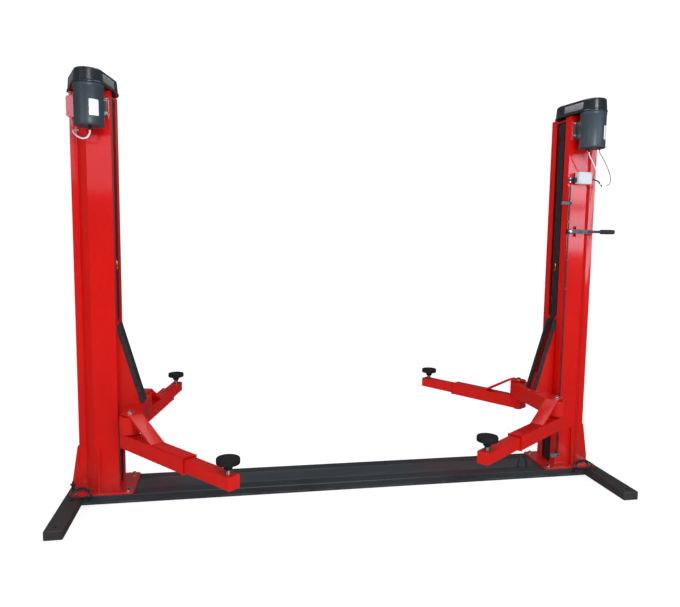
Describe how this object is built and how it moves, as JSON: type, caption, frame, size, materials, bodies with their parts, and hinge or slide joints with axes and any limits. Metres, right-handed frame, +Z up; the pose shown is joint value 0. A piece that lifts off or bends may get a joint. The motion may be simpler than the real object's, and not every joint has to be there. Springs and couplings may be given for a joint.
{
  "type": "two-post car lift",
  "caption": "Two-post car lift with a floor frame, folded columns, sliding carriages and telescopic swing arms with rubber pads.",
  "frame": {"origin": "on the floor, at the middle of the base between the two columns", "axes": "X from column to column, with the release lever on the +X column; -Y is the front, where the feet point and the motors hang; +Z up"},
  "size_m": [3.548, 2.1283, 2.535],
  "materials": {
    "red_paint": "gloss red enamel",
    "base_black": "satin black enamel",
    "zinc_steel": "zinc plated",
    "screw_steel": "machined and greased",
    "belt_rubber": "matte",
    "motor_paint": "semi-gloss dark grey",
    "cover_plastic": "gloss black",
    "box_grey": "satin light grey",
    "rod_black": "satin black",
    "lever_grey": "satin dark grey",
    "grip_rubber": "matte",
    "edge_rubber": "matte",
    "pad_rubber": "matte",
    "pad_steel": "worn",
    "lead_white": "matte white sleeving",
    "wire_brown": "satin brown insulation",
    "cable_black": "satin black sheath",
    "pin_steel": "zinc plated"
  },
  "bodies": {
    "root": {"base_rails": "base_black", "base_cover_plate": "base_black", "base_cross_ties": "base_black", "left_foot": "base_black", "right_foot": "base_black", "left_base_plate": "red_paint", "right_base_plate": "red_paint", "base_plate_bolts": "zinc_steel", "left_column": "red_paint", "right_column": "red_paint", "lift_screws": "screw_steel", "slot_belts": "belt_rubber", "left_motor": "motor_paint", "right_motor": "motor_paint", "motor_mounts": "red_paint", "left_top_cover": "cover_plastic", "right_top_cover": "cover_plastic", "junction_box": "box_grey", "box_bracket": "rod_black", "rod_guides": "red_paint", "cable_fittings": "grip_rubber", "left_motor_lead": "lead_white", "right_motor_lead": "lead_white", "right_motor_wire": "wire_brown", "left_cable_loop": "cable_black", "right_cable_loop": "cable_black", "base_cable_hoop": "cable_black"},
    "release_rod": {"release_rod": "rod_black"},
    "release_lever": {"release_lever": "lever_grey", "lever_grip": "grip_rubber"},
    "left_carriage": {"left_carriage": "red_paint", "left_edge_rubbers": "edge_rubber", "left_arm_pins": "pin_steel"},
    "left_front_arm": {"left_front_arm_outer": "red_paint"},
    "left_front_arm_extension": {"left_front_arm_inner": "red_paint"},
    "left_front_pad": {"left_front_pad_screw": "pad_steel", "left_front_pad": "pad_rubber"},
    "left_rear_arm": {"left_rear_arm_outer": "red_paint"},
    "left_rear_arm_extension": {"left_rear_arm_inner": "red_paint"},
    "left_rear_pad": {"left_rear_pad_screw": "pad_steel", "left_rear_pad": "pad_rubber"},
    "right_carriage": {"right_carriage": "red_paint", "right_edge_rubbers": "edge_rubber", "right_arm_pins": "pin_steel"},
    "right_front_arm": {"right_front_arm_outer": "red_paint"},
    "right_front_arm_extension": {"right_front_arm_inner": "red_paint"},
    "right_front_pad": {"right_front_pad_screw": "pad_steel", "right_front_pad": "pad_rubber"},
    "right_rear_arm": {"right_rear_arm_outer": "red_paint"},
    "right_rear_arm_extension": {"right_rear_arm_inner": "red_paint"},
    "right_rear_pad": {"right_rear_pad_screw": "pad_steel", "right_rear_pad": "pad_rubber"}
  },
  "joints": [
    {"name": "left_lift", "type": "slide", "parent": "root", "child": "left_carriage", "axis": [0, 0, 1], "range_m": [-0.295, 1.275]},
    {"name": "right_lift", "type": "slide", "parent": "root", "child": "right_carriage", "axis": [0, 0, 1], "range_m": [-0.295, 1.275]},
    {"name": "left_front_swing", "type": "hinge", "parent": "left_carriage", "child": "left_front_arm", "pos_m": [-1.356, -0.266, 0.5225], "axis": [0, 0, -1], "range_deg": [-42.7, 39.3]},
    {"name": "left_front_extend", "type": "slide", "parent": "left_front_arm", "child": "left_front_arm_extension", "axis": [0.6334, -0.7738, 0], "range_m": [-0.158, 0.262]},
    {"name": "left_front_pad_lift", "type": "slide", "parent": "left_front_arm_extension", "child": "left_front_pad", "axis": [0, 0, 1], "range_m": [0, 0.05]},
    {"name": "left_rear_swing", "type": "hinge", "parent": "left_carriage", "child": "left_rear_arm", "pos_m": [-1.356, 0.266, 0.5225], "axis": [0, 0, 1], "range_deg": [-71, 11]},
    {"name": "left_rear_extend", "type": "slide", "parent": "left_rear_arm", "child": "left_rear_arm_extension", "axis": [0.1908, 0.9816, 0], "range_m": [-0.065, 0.355]},
    {"name": "left_rear_pad_lift", "type": "slide", "parent": "left_rear_arm_extension", "child": "left_rear_pad", "axis": [0, 0, 1], "range_m": [0, 0.05]},
    {"name": "right_front_swing", "type": "hinge", "parent": "right_carriage", "child": "right_front_arm", "pos_m": [1.356, -0.266, 0.5225], "axis": [0, 0, 1], "range_deg": [-29.1, 52.9]},
    {"name": "right_front_extend", "type": "slide", "parent": "right_front_arm", "child": "right_front_arm_extension", "axis": [-0.7976, -0.6032, 0], "range_m": [-0.175, 0.245]},
    {"name": "right_front_pad_lift", "type": "slide", "parent": "right_front_arm_extension", "child": "right_front_pad", "axis": [0, 0, 1], "range_m": [0, 0.05]},
    {"name": "right_rear_swing", "type": "hinge", "parent": "right_carriage", "child": "right_rear_arm", "pos_m": [1.356, 0.266, 0.5225], "axis": [0, 0, -1], "range_deg": [-48.6, 33.4]},
    {"name": "right_rear_extend", "type": "slide", "parent": "right_rear_arm", "child": "right_rear_arm_extension", "axis": [-0.5505, 0.8348, 0], "range_m": [-0.11, 0.31]},
    {"name": "right_rear_pad_lift", "type": "slide", "parent": "right_rear_arm_extension", "child": "right_rear_pad", "axis": [0, 0, 1], "range_m": [0, 0.05]},
    {"name": "lever_turn", "type": "hinge", "parent": "root", "child": "release_lever", "pos_m": [1.537, -0.155, 1.69], "axis": [0, 1, 0], "range_deg": [-8, 8]},
    {"name": "rod_slide", "type": "slide", "parent": "root", "child": "release_rod", "axis": [0, 0, 1], "range_m": [-0.0105, 0.0105]}
  ],
  "couplings": [
    {"joint": "right_lift", "follows": "left_lift", "ratio": 1},
    {"joint": "rod_slide", "follows": "lever_turn", "m_per_rad": 0.075}
  ]
}
